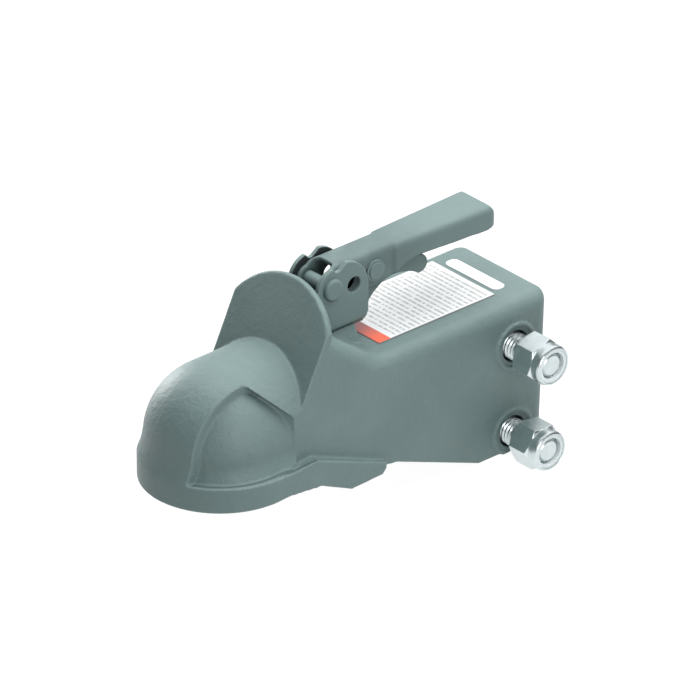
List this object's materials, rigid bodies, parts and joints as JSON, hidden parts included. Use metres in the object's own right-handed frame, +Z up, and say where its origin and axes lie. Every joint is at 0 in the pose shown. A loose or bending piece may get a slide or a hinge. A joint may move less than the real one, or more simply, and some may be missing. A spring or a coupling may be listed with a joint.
{
  "type": "trailer coupling head",
  "caption": "Cast ball coupling head for a trailer tongue, with a sliding ball jaw, a cam handle with a finger trigger, and bolts with lock nuts.",
  "frame": {"origin": "centre of the tow ball when the coupler is latched on it", "axes": "+X towards the tow vehicle, +Y to the side with the lock nuts, +Z up"},
  "size_m": [0.2539, 0.1187, 0.1454],
  "materials": {
    "cast_paint": "semi-gloss grey paint over a sand-cast skin",
    "pressed_paint": "semi-gloss grey paint on pressed steel",
    "handle_paint": "semi-gloss grey paint on pressed steel",
    "bare_steel": "greased bare steel",
    "spring_steel": "bright drawn wire",
    "zinc": "bright zinc plate",
    "nylon": "white nylon",
    "label_film": "white label film"
  },
  "bodies": {
    "root": {"coupler_casting": "cast_paint", "latch_bracket": "pressed_paint", "bracket_rivets": "pressed_paint", "handle_pivot_pin": "pressed_paint", "plunger_spring": "spring_steel", "hex_bolt_upper": "zinc", "hex_bolt_lower": "zinc", "lock_nut_upper": "zinc", "lock_nut_lower": "zinc", "nylon_ring_upper": "nylon", "nylon_ring_lower": "nylon", "main_label": "label_film", "size_tag": "label_film"},
    "handle": {"handle": "handle_paint", "trigger_pin": "pressed_paint"},
    "trigger": {"trigger": "handle_paint", "trigger_spring": "spring_steel"},
    "plunger": {"latch_plunger": "bare_steel", "lock_wedge": "bare_steel", "wedge_pin": "bare_steel"},
    "jaw": {"ball_jaw": "bare_steel"}
  },
  "joints": [
    {"name": "handle_swing", "type": "hinge", "parent": "root", "child": "handle", "pos_m": [-0.0696, 0, 0.0684], "axis": [0, 1, 0], "range_deg": [0, 88]},
    {"name": "trigger_squeeze", "type": "hinge", "parent": "handle", "child": "trigger", "pos_m": [-0.1032, 0, 0.0674], "axis": [0, 1, 0], "range_deg": [0, 12], "stiffness_Nm_per_rad": 0.8, "springref_deg": -17.19},
    {"name": "plunger_slide", "type": "slide", "parent": "root", "child": "plunger", "axis": [0, 0, 1], "range_m": [0, 0.0095], "deforming": ["plunger_spring"]},
    {"name": "jaw_slide", "type": "slide", "parent": "root", "child": "jaw", "axis": [-1, 0, 0], "range_m": [0, 0.0069]}
  ],
  "couplings": [
    {"joint": "plunger_slide", "follows": "handle_swing", "m_per_rad": 0.006185},
    {"joint": "jaw_slide", "follows": "handle_swing", "m_per_rad": 0.00449}
  ]
}
